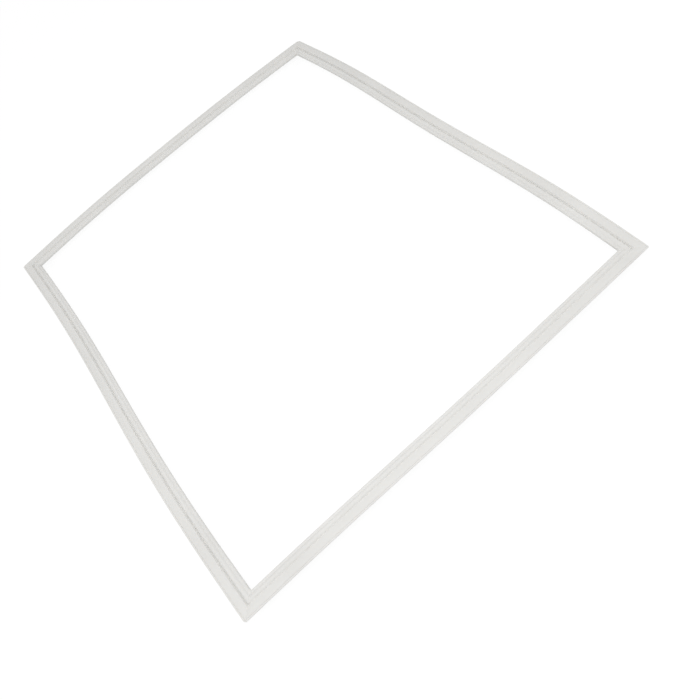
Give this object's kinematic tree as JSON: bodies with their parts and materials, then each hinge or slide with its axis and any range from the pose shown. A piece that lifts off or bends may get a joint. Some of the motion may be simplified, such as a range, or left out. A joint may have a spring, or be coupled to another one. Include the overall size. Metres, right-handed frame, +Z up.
{
  "type": "refrigerator door gasket",
  "caption": "Soft PVC door seal ring with mitred welded corners, a flat magnetic sealing face, folded bellows, air bulb, inner fin and push-in dart.",
  "frame": {"origin": "centre of the gasket's bounding box, at the tip of the fixing dart that it lies on", "axes": "+X along the short front side to the right, +Y along the long sides to the back, +Z up out of the sealing face"},
  "size_m": [0.5872, 0.6944, 0.0143],
  "materials": {
    "pvc": "soft satin, flexible PVC, off-white",
    "magnet": "matt bonded ferrite strip, dark brown-grey"
  },
  "bodies": {
    "root": {"gasket_profile": "pvc", "magnet_strip_front": "magnet", "magnet_strip_right": "magnet", "magnet_strip_back": "magnet", "magnet_strip_left": "magnet"}
  },
  "joints": []
}
